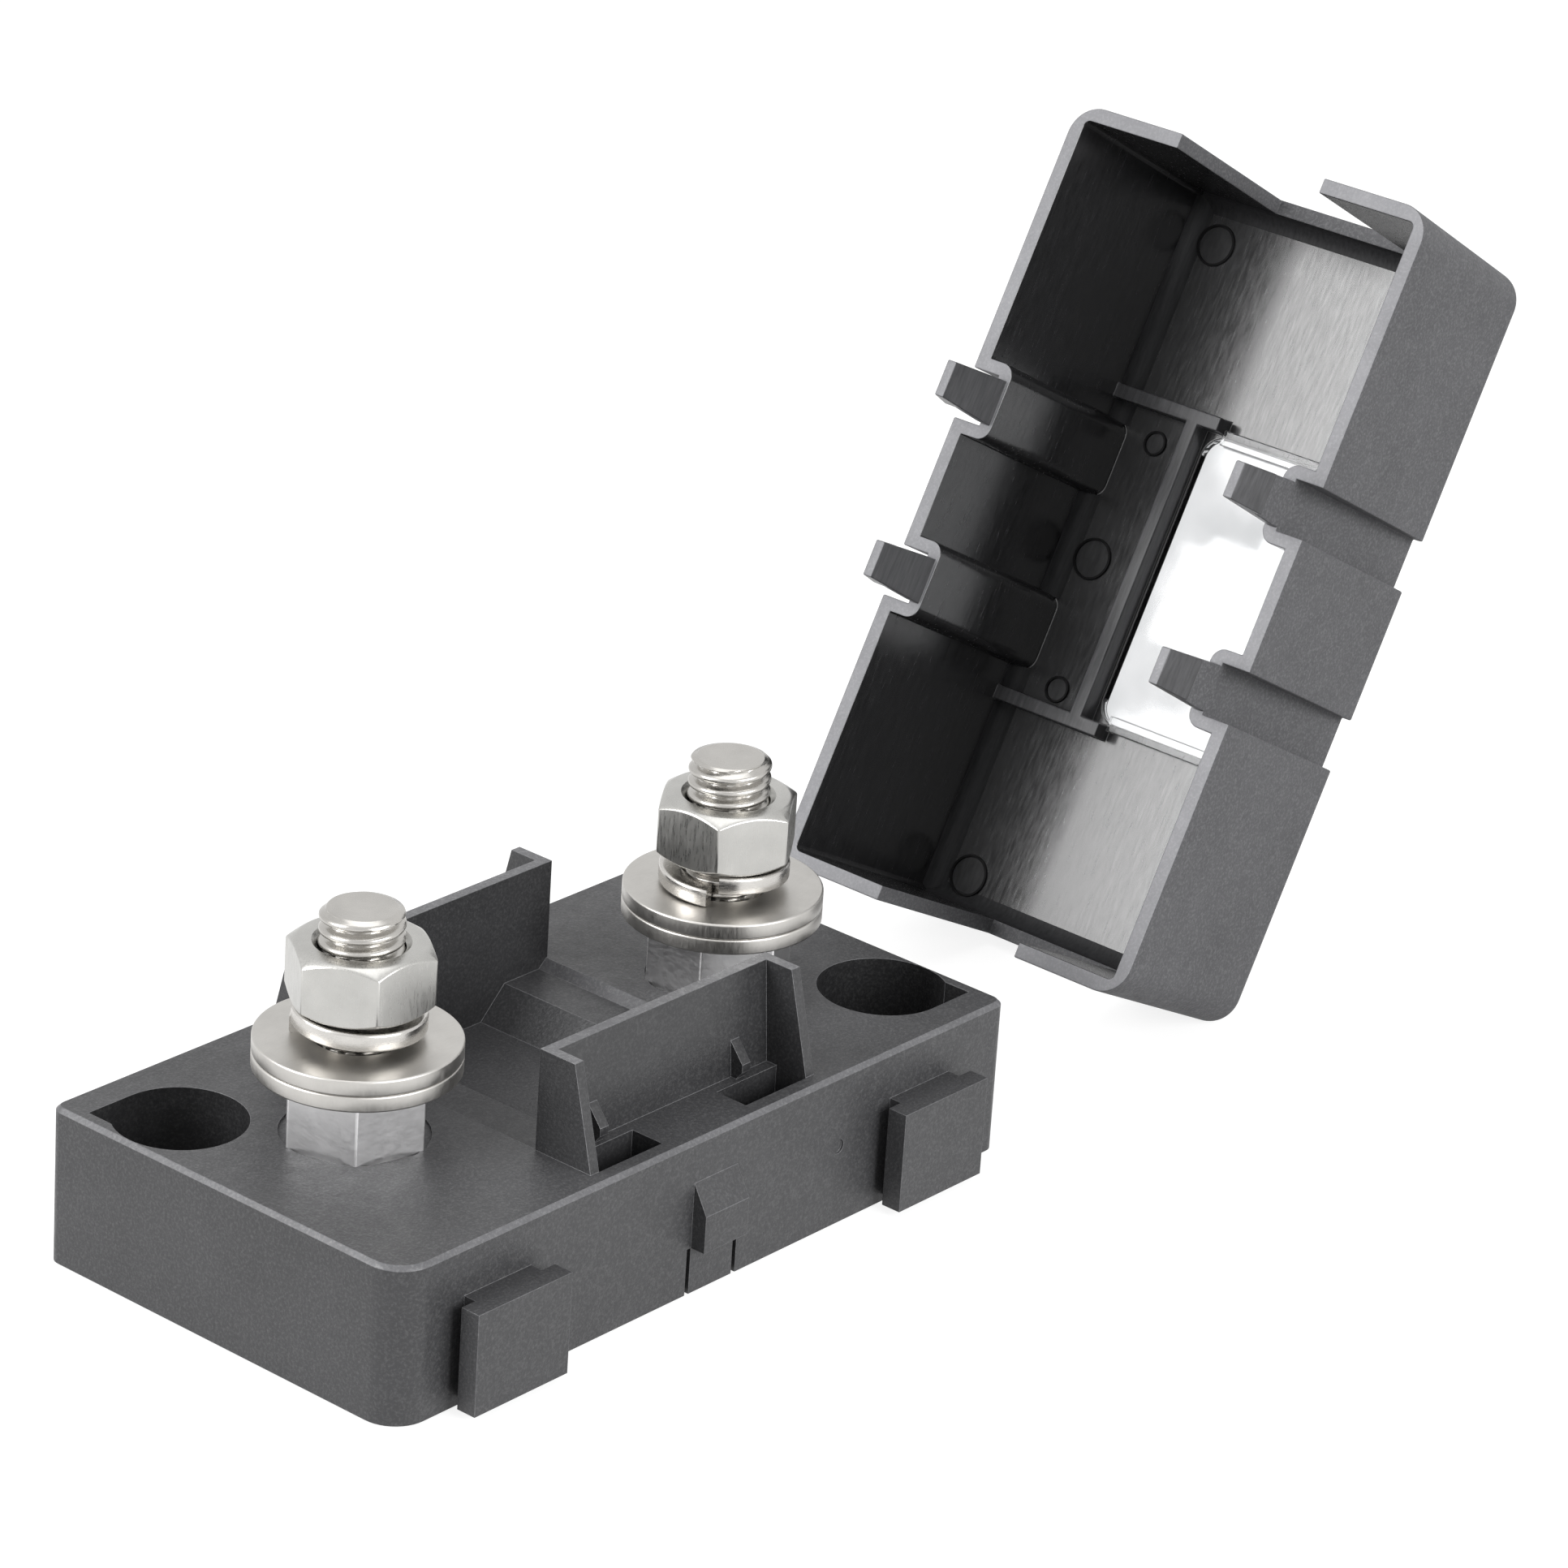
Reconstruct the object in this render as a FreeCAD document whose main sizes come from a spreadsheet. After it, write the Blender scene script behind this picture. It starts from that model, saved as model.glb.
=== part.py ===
# Fuse holder for a bolt-down blade fuse: a moulded base with two threaded studs and a clip-on cover.
# Lengths in millimetres. X runs along the base, Y across it, Z up from the underside of the base.
# The origin lies on the underside, midway between the two studs.
import FreeCAD, Part
import math
import os
import Sketcher

HEX = 6
NEAR = 0.001
LONG = 5.0

SIZES = {
    # Base block.
    "base_length": 50.4,
    "base_width": 27.0,
    "base_height": 9.6,
    "corner_round_large": 2.2,
    "corner_round_small": 0.8,
    "deck_edge_bevel": 0.25,
    "stud_spacing": 30.0,
    "join_overlap": 0.5,
    "overrun": 1.0,

    # Fuse bay between the two U-shaped walls.
    "bay_half_width": 8.25,
    "bay_rim_half": 9.2,
    "bay_step_half": 8.6,
    "bay_step_depth": 0.55,
    "bay_slope_half": 5.7,
    "bay_floor_half": 3.8,
    "bay_depth": 2.45,

    # U-shaped walls.
    "wall_height": 6.2,
    "wall_root": 1.0,
    "wall_foot_thick": 1.2,
    "wall_top_thick": 0.7,
    "wall_half_length": 9.3,
    "wing_thick": 0.7,
    "wing_top_set": 2.65,

    # Pockets that take the cover's hooks.
    "pocket_side_wall": 1.1,
    "pocket_back_room": 0.35,
    "pocket_near_room": 0.95,
    "pocket_floor_room": 1.9,
    "fin_thick": 0.7,
    "fin_reach": 0.8,
    "fin_height": 2.6,
    "fin_nub_height": 1.0,
    "hook_x": 5.9,

    # Mounting holes.
    "mount_end": 4.15,
    "mount_side": 6.0,
    "mount_recess_radius": 3.85,
    "mount_corner_reach": 3.25,
    "mount_recess_depth": 6.0,
    "mount_hole_radius": 2.65,

    # Joining lugs and snap on the front face.
    "lug_end": 7.6,
    "lug_width": 7.3,
    "lug_bottom": 0.4,
    "lug_height": 6.2,
    "lug_stand": 2.1,
    "lug_head_thick": 1.3,
    "lug_stem_width": 5.2,
    "snap_width": 3.6,
    "snap_bottom": 2.9,
    "snap_face_top": 5.2,
    "snap_top": 6.95,
    "snap_stand": 1.0,
    "slit_width": 0.3,
    "slit_height": 2.9,
    "slit_depth": 1.6,
    "gate_mark_x": 10.6,
    "gate_mark_z": 5.0,
    "gate_mark_radius": 0.45,
    "gate_mark_depth": 0.15,

    # Stud stack.
    "thread_radius": 2.4,
    "stud_proud_left": 2.0,
    "stud_proud_right": 2.3,
    "stud_tip_chamfer": 0.45,
    "hex_across": 7.55,
    "hex_top": 13.6,
    "hex_sink": 5.6,
    "stud_turn_left": 45,
    "stud_turn_right": 27,
    "foot_ring_radius": 4.25,
    "foot_ring_depth": 0.8,
    "washer_radius": 5.85,
    "washer_hole_radius": 2.6,
    "washer_thick": 0.95,
    "washer_edge_bevel": 0.2,
    "spring_outer_radius": 3.8,
    "spring_inner_radius": 2.6,
    "spring_section": 1.1,
    "spring_total": 2.0,
    "spring_turns": 0.97,
    "spring_gap_turn_left": 135,
    "spring_gap_turn_right": 206,
    "nut_across": 7.55,
    "nut_face_radius": 3.6,
    "nut_height": 3.7,
    "nut_turn_left": 57,
    "nut_turn_right": 34.4,
    "nut_bore_radius": 2.45,
    "nut_bevel_angle": 34,
    "nut_bore_chamfer": 0.3,

    # Cover, and how it stands beside the base.
    "stud_tip_room": 0.1,
    "end_draft": 2.0,
    "side_draft": 4.0,
    "cover_wall": 0.95,
    "cover_plate": 1.0,
    "cover_corner_round": 2.0,
    "cover_edge_round": 0.9,
    "cover_lean": 118.9,
    "cover_stand": 22.3,
    "cover_aside": 0.6,
    "groove_width": 3.3,
    "groove_depth": 2.0,
    "jog_wall": 0.95,
    "jog_side_wall": 0.85,
    "jog_round": 0.9,
    "hollow_corner_round": 0.4,
    "hook_width": 2.9,
    "hook_tip_width": 2.3,
    "hook_set": 0.2,
    "hook_length": 5.7,
    "barb_room": 0.15,
    "barb_ramp": 2.5,
    "barb_tip_set": 0.1,
    "barb_shoulder": 0.1,
    "taper_start": 0.5,
    "end_notch_half": 5.4,
    "end_notch_top": 2.2,
    "rib_gap": 0.65,
    "rib_thick": 0.9,
    "rib_height": 1.4,
    "cross_rib_inner_y": 3.4,
    "window_low_x": 9.5,
    "window_high_x": 9.75,
    "window_width": 14.0,
    "window_side": 4.2,
    "window_corner": 1.4,
    "window_lip": 1.0,
    "window_lip_thick": 0.7,
}

doc = FreeCAD.newDocument("fuse_holder")
sheet = doc.addObject("Spreadsheet::Sheet", "sizes")
for row, alias in enumerate(SIZES, start=1):
    sheet.set("A%d" % row, alias)
    sheet.set("B%d" % row, str(SIZES[alias]))
    sheet.setAlias("B%d" % row, alias)
doc.recompute()

# Places worked out from the sizes.
MOUNT_X = "(base_length/2 - mount_end)"
MOUNT_Y = "(base_width/2 - mount_side)"
LUG_X = "(base_length/2 - lug_end)"
GROOVE_FLOOR = "(base_width/2 - groove_depth)"
JOG_INNER = "(base_width/2 - groove_depth - jog_wall)"
POCKET_OUTER = "(base_width/2 - pocket_side_wall)"
POCKET_INNER = "(base_width/2 - groove_depth - jog_wall - pocket_back_room)"
POCKET_NEAR = "(hook_x - hook_width/2 - pocket_near_room)"
POCKET_FAR = "(wall_half_length - wing_thick)"
WING_TOP = "(base_width/2 - wing_top_set)"
STUD_FOOT = "(base_height - hex_sink)"
NUT_BOTTOM = "(hex_top + 2*washer_thick + spring_total)"
NUT_TOP = "(hex_top + 2*washer_thick + spring_total + nut_height)"
COVER_DEPTH = "(" + NUT_TOP + " + stud_proud_right + stud_tip_room + cover_plate - base_height)"
PLATE_INNER = "(" + COVER_DEPTH + " - cover_plate)"
SIDE_LEAN = "tan(side_draft*1 deg)"
RIB_LOW = "(window_low_x + rib_gap)"
RIB_HIGH = "(window_high_x + rib_gap)"
WINDOW_FRONT = "(base_width/2 - window_side)"
WINDOW_REAR = "(window_width - base_width/2 + window_side)"


def s(text):
    """Turn bare size names in an expression into sheet references."""
    out = []
    word = ""
    for ch in text + " ":
        if ch.isalpha() or ch == "_" or (word and ch.isdigit()):
            word = word + ch
            continue
        if word:
            known = sheet.getCellFromAlias(word)
            out.append("sizes." + word if known else word)
            word = ""
        out.append(ch)
    return "".join(out).strip()


def bind(obj, prop, text):
    obj.setExpression(prop, s(text))


def outline(sketch, points):
    """Closed polygon whose corners are each set by a pair of expressions."""
    count = len(points)
    for i in range(count):
        angle = 2 * math.pi * i / count
        nxt = 2 * math.pi * (i + 1) / count
        a = FreeCAD.Vector(math.cos(angle), math.sin(angle), 0)
        b = FreeCAD.Vector(math.cos(nxt), math.sin(nxt), 0)
        first = sketch.addGeometry(Part.LineSegment(a, b), False)
        if i == 0:
            start = first
    for i in range(count):
        here = start + i
        after = start + (i + 1) % count
        sketch.addConstraint(Sketcher.Constraint("Coincident", here, 2, after, 1))
    for i in range(count):
        here = start + i
        cx = sketch.addConstraint(Sketcher.Constraint("DistanceX", -1, 1, here, 1, 1.0 + i))
        bind(sketch, "Constraints[%d]" % cx, points[i][0])
        cy = sketch.addConstraint(Sketcher.Constraint("DistanceY", -1, 1, here, 1, 1.0 + i))
        bind(sketch, "Constraints[%d]" % cy, points[i][1])


def circle(sketch, x, y, radius):
    """Circle placed and sized by expressions."""
    made = Part.Circle(FreeCAD.Vector(1, 1, 0), FreeCAD.Vector(0, 0, 1), 1.0)
    geo = sketch.addGeometry(made, False)
    cx = sketch.addConstraint(Sketcher.Constraint("DistanceX", -1, 1, geo, 3, 1.0))
    bind(sketch, "Constraints[%d]" % cx, x)
    cy = sketch.addConstraint(Sketcher.Constraint("DistanceY", -1, 1, geo, 3, 1.0))
    bind(sketch, "Constraints[%d]" % cy, y)
    cr = sketch.addConstraint(Sketcher.Constraint("Radius", geo, 1.0))
    bind(sketch, "Constraints[%d]" % cr, radius)


def body(name):
    made = doc.addObject("PartDesign::Body", name)
    made.Label = name
    return made


def sketch_in(owner, name, plane, height="0"):
    """Sketch on XY (raised by a height), XZ (moved along Y) or YZ (moved along X)."""
    sketch = owner.newObject("Sketcher::SketchObject", name)
    if plane == "XY":
        turn = FreeCAD.Rotation(0, 0, 0)
        axis = "z"
    elif plane == "XZ":
        turn = FreeCAD.Rotation(FreeCAD.Vector(1, 0, 0), 90)
        axis = "y"
    else:
        turn = FreeCAD.Rotation(FreeCAD.Vector(1, 1, 1), 120)
        axis = "x"
    sketch.Placement = FreeCAD.Placement(FreeCAD.Vector(0, 0, 0), turn)
    bind(sketch, "Placement.Base." + axis, height)
    return sketch


def extrude(owner, kind, name, sketch, length, both=False, back=False, through=False):
    made = owner.newObject("PartDesign::" + kind, name)
    made.Profile = sketch
    made.Midplane = both
    made.Reversed = back
    if through:
        made.Type = 1
    else:
        bind(made, "Length", length)
    sketch.Visibility = False
    return made


def edges_where(shape, test):
    names = []
    for i, edge in enumerate(shape.Edges):
        if test(edge):
            names.append("Edge%d" % (i + 1))
    return names


def round_edges(owner, name, feature, test, radius):
    doc.recompute()
    made = owner.newObject("PartDesign::Fillet", name)
    made.Base = (feature, edges_where(feature.Shape, test))
    bind(made, "Radius", radius)
    return made


def draft_walls(owner, name, feature, hinge, top, half, axis, angle, inner):
    """Lean in the two upright faces that run from the rim to a height, a half width out along an axis."""
    doc.recompute()
    walls = []
    for i, face in enumerate(feature.Shape.Faces):
        reach = face.BoundBox
        out = abs(getattr(face.CenterOfMass, axis))
        full = abs(reach.ZMin) < NEAR and abs(reach.ZMax - top) < NEAR
        if full and abs(out - half) < NEAR:
            walls.append("Face%d" % (i + 1))
    made = owner.newObject("PartDesign::Draft", name)
    made.Base = (feature, walls)
    made.NeutralPlane = (hinge, [""])
    made.Reversed = inner
    bind(made, "Angle", angle + "*1 deg")
    return made


def middle(edge):
    return edge.CenterOfMass


def upright(edge):
    low = edge.BoundBox
    return low.ZLength > 1.0 and low.XLength < 1.5 and low.YLength < 1.5


def box_points(x0, y0, x1, y1):
    return [(x0, y0), (x1, y0), (x1, y1), (x0, y1)]


def hex_points(across, turn):
    """Corners of a hexagon about the origin, given across the flats and turned."""
    points = []
    reach = across + "/2/cos(30 deg)"
    for k in range(HEX):
        angle = "(%s + 360*%d/%d)*1 deg" % (turn, k, HEX)
        points.append((reach + "*cos(" + angle + ")", reach + "*sin(" + angle + ")"))
    return points


# Base.
base = body("base")
plan = sketch_in(base, "base_plan", "XY")
outline(plan, box_points("-base_length/2", "-base_width/2", "base_length/2", "base_width/2"))
block = extrude(base, "Pad", "base_block", plan, "base_height")
block = round_edges(
    base, "base_corners_large", block,
    lambda e: upright(e) and middle(e).x * middle(e).y > 0, "corner_round_large")
block = round_edges(
    base, "base_corners_small", block,
    lambda e: upright(e) and middle(e).x * middle(e).y < 0, "corner_round_small")
height_now = sheet.get("base_height")
doc.recompute()
bevel = base.newObject("PartDesign::Chamfer", "deck_edge")
bevel.Base = (block, edges_where(block.Shape, lambda e: abs(middle(e).z - height_now) < NEAR))
bind(bevel, "Size", "deck_edge_bevel")

# Two-level bay floor that clears the fuse body.
bay = sketch_in(base, "bay_profile", "XZ", "0")
outline(bay, [
    ("-bay_rim_half", "base_height"),
    ("-bay_step_half", "base_height - bay_step_depth"),
    ("-bay_slope_half", "base_height - bay_step_depth"),
    ("-bay_floor_half", "base_height - bay_depth"),
    ("bay_floor_half", "base_height - bay_depth"),
    ("bay_slope_half", "base_height - bay_step_depth"),
    ("bay_step_half", "base_height - bay_step_depth"),
    ("bay_rim_half", "base_height"),
    ("bay_rim_half", "base_height + overrun"),
    ("-bay_rim_half", "base_height + overrun")])
extrude(base, "Pocket", "bay_cut", bay, "2*bay_half_width", both=True)

# U-shaped walls, front and rear.
for side in (-1, 1):
    tag = "front" if side < 0 else "rear"
    sign = "-" if side < 0 else ""
    slab = sketch_in(base, "wall_side_" + tag, "YZ", "0")
    outline(slab, [
        (sign + "bay_half_width", "base_height - wall_root"),
        (sign + "(bay_half_width + wall_foot_thick)", "base_height - wall_root"),
        (sign + "(bay_half_width + wall_foot_thick)", "base_height"),
        (sign + "(bay_half_width + wall_top_thick)", "base_height + wall_height"),
        (sign + "bay_half_width", "base_height + wall_height")])
    extrude(base, "Pad", "wall_" + tag, slab, "2*wall_half_length", both=True)
    for end in (-1, 1):
        hand = "left" if end < 0 else "right"
        start = "-wall_half_length" if end < 0 else POCKET_FAR
        wing = sketch_in(base, "wing_side_" + tag + "_" + hand, "YZ", start)
        outline(wing, [
            (sign + "bay_half_width", "base_height - wall_root"),
            (sign + POCKET_OUTER, "base_height - wall_root"),
            (sign + POCKET_OUTER, "base_height"),
            (sign + WING_TOP, "base_height + wall_height"),
            (sign + "bay_half_width", "base_height + wall_height")])
        extrude(base, "Pad", "wing_" + tag + "_" + hand, wing, "wing_thick")
        pocket = sketch_in(base, "pocket_plan_" + tag + "_" + hand, "XY", "base_height")
        near = "-" + POCKET_NEAR if end < 0 else POCKET_NEAR
        far = "-" + POCKET_FAR if end < 0 else POCKET_FAR
        outline(pocket, box_points(near, sign + POCKET_INNER, far, sign + POCKET_OUTER))
        extrude(base, "Pocket", "pocket_" + tag + "_" + hand, pocket, "hook_length + pocket_floor_room")
        middle_x = "-hook_x" if end < 0 else "hook_x"
        fin = sketch_in(base, "fin_side_" + tag + "_" + hand, "YZ", middle_x)
        face = "(bay_half_width + wall_foot_thick"
        outline(fin, [
            (sign + "(bay_half_width + wall_top_thick/2)", "base_height"),
            (sign + face + " + fin_reach/2)", "base_height"),
            (sign + face + " + fin_reach)", "base_height + fin_nub_height/2"),
            (sign + face + " + fin_reach)", "base_height + fin_nub_height"),
            (sign + "(bay_half_width + wall_top_thick)", "base_height + fin_height"),
            (sign + "(bay_half_width + wall_top_thick/2)", "base_height + fin_height")])
        extrude(base, "Pad", "fin_" + tag + "_" + hand, fin, "fin_thick", both=True)

# Mounting holes: a deep recess with one square corner, and a through hole in its floor.
for side in (-1, 1):
    tag = "left" if side < 0 else "right"
    cx = "-" + MOUNT_X if side < 0 else MOUNT_X
    cy = MOUNT_Y if side < 0 else "-" + MOUNT_Y
    bore = sketch_in(base, "mount_round_" + tag, "XY", "base_height")
    circle(bore, cx, cy, "mount_recess_radius")
    extrude(base, "Pocket", "mount_recess_" + tag, bore, "mount_recess_depth")
    corner = sketch_in(base, "mount_corner_plan_" + tag, "XY", "base_height")
    if side < 0:
        outline(corner, box_points(cx + " - mount_corner_reach", cy, cx, cy + " + mount_recess_radius"))
    else:
        outline(corner, box_points(cx, cy + " - mount_recess_radius", cx + " + mount_corner_reach", cy))
    extrude(base, "Pocket", "mount_corner_" + tag, corner, "mount_recess_depth")
    hole = sketch_in(base, "mount_hole_plan_" + tag, "XY", "base_height")
    circle(hole, cx, cy, "mount_hole_radius")
    extrude(base, "Pocket", "mount_hole_" + tag, hole, "base_height", through=True)

# Hexagonal sockets for the studs, each with a shallow round relief at the deck.
for side in (-1, 1):
    tag = "left" if side < 0 else "right"
    cx = "-stud_spacing/2" if side < 0 else "stud_spacing/2"
    relief = sketch_in(base, "stud_relief_plan_" + tag, "XY", "base_height")
    circle(relief, cx, "0", "foot_ring_radius")
    extrude(base, "Pocket", "stud_relief_" + tag, relief, "foot_ring_depth")
    socket = sketch_in(base, "stud_socket_plan_" + tag, "XY", "base_height")
    points = hex_points("hex_across", "stud_turn_" + tag)
    outline(socket, [(cx + " + " + px, py) for px, py in points])
    extrude(base, "Pocket", "stud_socket_" + tag, socket, "hex_sink")

# Joining lugs, T-shaped in plan, low on the front face.
for side in (-1, 1):
    tag = "left" if side < 0 else "right"
    cx = "-" + LUG_X if side < 0 else LUG_X
    lug = sketch_in(base, "lug_plan_" + tag, "XY", "lug_bottom")
    front = "-base_width/2"
    head = "(base_width/2 + lug_stand - lug_head_thick)"
    outline(lug, [
        (cx + " - lug_stem_width/2", front + " + join_overlap"),
        (cx + " - lug_stem_width/2", "-" + head),
        (cx + " - lug_width/2", "-" + head),
        (cx + " - lug_width/2", front + " - lug_stand"),
        (cx + " + lug_width/2", front + " - lug_stand"),
        (cx + " + lug_width/2", "-" + head),
        (cx + " + lug_stem_width/2", "-" + head),
        (cx + " + lug_stem_width/2", front + " + join_overlap")])
    extrude(base, "Pad", "lug_" + tag, lug, "lug_height")

# Snap wedge on a tongue, freed at the lower edge by two slits.
wedge = sketch_in(base, "snap_side", "YZ", "0")
outline(wedge, [
    ("-base_width/2 + join_overlap", "snap_bottom"),
    ("-base_width/2 - snap_stand", "snap_bottom"),
    ("-base_width/2 - snap_stand", "snap_face_top"),
    ("-base_width/2", "snap_top"),
    ("-base_width/2 + join_overlap", "snap_top")])
extrude(base, "Pad", "snap_wedge", wedge, "snap_width", both=True)
for side in (-1, 1):
    tag = "left" if side < 0 else "right"
    cx = "-(snap_width/2 + slit_width/2)" if side < 0 else "(snap_width/2 + slit_width/2)"
    slit = sketch_in(base, "slit_plan_" + tag, "XY", "0")
    outline(slit, box_points(
        cx + " - slit_width/2", "-base_width/2 - overrun",
        cx + " + slit_width/2", "-base_width/2 + slit_depth"))
    extrude(base, "Pocket", "slit_" + tag, slit, "slit_height", back=True)
mark = sketch_in(base, "gate_mark_plan", "XZ", "-base_width/2")
circle(mark, "gate_mark_x", "gate_mark_z", "gate_mark_radius")
extrude(base, "Pocket", "gate_mark", mark, "gate_mark_depth")


# Studs, washers, spring washers and nuts.
def place(obj, side):
    bind(obj, "Placement.Base.x", "-stud_spacing/2" if side < 0 else "stud_spacing/2")


def turned(name, points):
    """Body turned about Z from a half section in the XZ plane."""
    made = body(name)
    half = sketch_in(made, name + "_section", "XZ")
    outline(half, points)
    spin = made.newObject("PartDesign::Revolution", name + "_turned")
    spin.Profile = half
    spin.ReferenceAxis = (half, ["V_Axis"])
    spin.Angle = 360
    half.Visibility = False
    return made


def turned_cut(owner, name, profile):
    """Cut turned about Z by a profile in the XZ plane."""
    made = owner.newObject("PartDesign::Groove", name)
    made.Profile = profile
    made.ReferenceAxis = (profile, ["V_Axis"])
    made.Angle = 360


def washer(name, under):
    """Flat washer with bevelled rims, its underside at the given height."""
    return turned(name, [
        ("washer_hole_radius", under),
        ("washer_radius - washer_edge_bevel", under),
        ("washer_radius", under + " + washer_edge_bevel"),
        ("washer_radius", under + " + washer_thick - washer_edge_bevel"),
        ("washer_radius - washer_edge_bevel", under + " + washer_thick"),
        ("washer_hole_radius", under + " + washer_thick")])


for side in (-1, 1):
    tag = "left" if side < 0 else "right"

    tip = NUT_TOP + " + stud_proud_" + tag
    stud = turned("stud_" + tag, [
        ("0", STUD_FOOT),
        ("thread_radius", STUD_FOOT),
        ("thread_radius", tip + " - stud_tip_chamfer"),
        ("thread_radius - stud_tip_chamfer", tip),
        ("0", tip)])
    hexagon = sketch_in(stud, "stud_hex_plan_" + tag, "XY", STUD_FOOT)
    outline(hexagon, hex_points("hex_across", "stud_turn_" + tag))
    extrude(stud, "Pad", "stud_hex_" + tag, hexagon, "hex_top - base_height + hex_sink")
    place(stud, side)

    place(washer("lower_washer_" + tag, "hex_top"), side)
    place(washer("upper_washer_" + tag, "(hex_top + washer_thick)"), side)

    nut = body("nut_" + tag)
    flat = sketch_in(nut, "nut_plan_" + tag, "XY", NUT_BOTTOM)
    outline(flat, hex_points("nut_across", "nut_turn_" + tag))
    circle(flat, "0", "0", "nut_bore_radius")
    extrude(nut, "Pad", "nut_block_" + tag, flat, "nut_height")
    crown = sketch_in(nut, "nut_crown_" + tag, "XZ")
    beyond = "nut_face_radius + overrun"
    fall = "overrun*tan(nut_bevel_angle*1 deg)"
    outline(crown, [
        ("nut_face_radius", NUT_TOP), (beyond, NUT_TOP), (beyond, NUT_TOP + " - " + fall)])
    turned_cut(nut, "nut_top_bevel_" + tag, crown)
    skirt = sketch_in(nut, "nut_skirt_" + tag, "XZ")
    outline(skirt, [
        ("nut_face_radius", NUT_BOTTOM), (beyond, NUT_BOTTOM), (beyond, NUT_BOTTOM + " + " + fall)])
    turned_cut(nut, "nut_bottom_bevel_" + tag, skirt)
    lead = sketch_in(nut, "nut_lead_" + tag, "XZ")
    outline(lead, [
        ("nut_bore_radius - nut_bore_chamfer", NUT_TOP),
        ("nut_bore_radius + nut_bore_chamfer", NUT_TOP),
        ("nut_bore_radius", NUT_TOP + " - nut_bore_chamfer"),
        ("nut_bore_radius - nut_bore_chamfer", NUT_TOP + " - nut_bore_chamfer")])
    turned_cut(nut, "nut_bore_bevel_" + tag, lead)
    place(nut, side)

    coil = doc.addObject("Part::Helix", "spring_path_" + tag)
    coil.LocalCoord = 1
    bind(coil, "Radius", "(spring_outer_radius + spring_inner_radius)/2")
    bind(coil, "Pitch", "(spring_total - spring_section)/spring_turns")
    bind(coil, "Height", "spring_total - spring_section")
    section = doc.addObject("Sketcher::SketchObject", "spring_section_" + tag)
    section.Placement = FreeCAD.Placement(
        FreeCAD.Vector(0, 0, 0), FreeCAD.Rotation(FreeCAD.Vector(1, 0, 0), 90))
    outline(section, box_points(
        "spring_inner_radius", "-spring_section/2", "spring_outer_radius", "spring_section/2"))
    spring = doc.addObject("Part::Sweep", "spring_washer_" + tag)
    spring.Label = "spring_washer_" + tag
    spring.Sections = [section]
    spring.Spine = (coil, ["Edge1"])
    spring.Solid = True
    spring.Frenet = True
    spring.Placement = FreeCAD.Placement(
        FreeCAD.Vector(0, 0, 0), FreeCAD.Rotation(FreeCAD.Vector(0, 0, 1), 10))
    bind(spring, "Placement.Rotation.Angle", "spring_gap_turn_" + tag + "*1 deg")
    place(spring, side)
    bind(spring, "Placement.Base.z", "hex_top + 2*washer_thick + spring_section/2")


# Cover, drawn with its rim at zero height.
def stand(obj):
    """Lean a part of the cover beside the base, so that the rounded lower edge rests on the floor."""
    tilt = FreeCAD.Rotation(FreeCAD.Vector(0, 1, 0), 10)
    obj.Placement = FreeCAD.Placement(FreeCAD.Vector(0, 0, 0), tilt)
    bind(obj, "Placement.Rotation.Angle", "cover_lean*1 deg")
    bind(obj, "Placement.Base.x", "base_length/2 + cover_stand")
    bind(obj, "Placement.Base.y", "-cover_aside")
    round_z = "(" + COVER_DEPTH + " - cover_edge_round)"
    wall_x = "(base_length/2 - " + round_z + "*tan(end_draft*1 deg))"
    round_x = "(" + wall_x + " - cover_edge_round/cos(end_draft*1 deg))"
    bind(obj, "Placement.Base.z", round_x + "*sin(cover_lean*1 deg) - "
         + round_z + "*cos(cover_lean*1 deg) + cover_edge_round")


cover = body("cover")
rim = sketch_in(cover, "cover_rim_plan", "XY")
outline(rim, box_points("-base_length/2", "-base_width/2", "base_length/2", "base_width/2"))
shell = extrude(cover, "Pad", "cover_block", rim, COVER_DEPTH)
# Stepped inside, following the outside at one wall thickness.
edge_x = "(base_length/2 - cover_wall)"
edge_y = "(base_width/2 - cover_wall)"
jog_a = "(hook_x - groove_width/2 - jog_side_wall)"
jog_b = "(hook_x + groove_width/2 + jog_side_wall)"
hollow = sketch_in(cover, "cover_hollow_plan", "XY")
outline(hollow, [
    ("-" + edge_x, "-" + edge_y),
    ("-" + jog_b, "-" + edge_y), ("-" + jog_b, "-" + JOG_INNER),
    ("-" + jog_a, "-" + JOG_INNER), ("-" + jog_a, "-" + edge_y),
    (jog_a, "-" + edge_y), (jog_a, "-" + JOG_INNER),
    (jog_b, "-" + JOG_INNER), (jog_b, "-" + edge_y),
    (edge_x, "-" + edge_y), (edge_x, edge_y),
    (jog_b, edge_y), (jog_b, JOG_INNER),
    (jog_a, JOG_INNER), (jog_a, edge_y),
    ("-" + jog_a, edge_y), ("-" + jog_a, JOG_INNER),
    ("-" + jog_b, JOG_INNER), ("-" + jog_b, edge_y),
    ("-" + edge_x, edge_y)])
shell = extrude(cover, "Pocket", "cover_hollow", hollow, PLATE_INNER, back=True)
hinge = cover.newObject("PartDesign::Plane", "cover_rim_plane")
crown_now = cover.evalExpression(s(COVER_DEPTH))
plate_now = cover.evalExpression(s(PLATE_INNER))
jog_now = cover.evalExpression(s(JOG_INNER))
jog_end_now = cover.evalExpression(s(jog_b))
end_now = cover.evalExpression("sizes.base_length/2")
side_now = cover.evalExpression("sizes.base_width/2")
wall_now = sheet.get("cover_wall")
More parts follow.
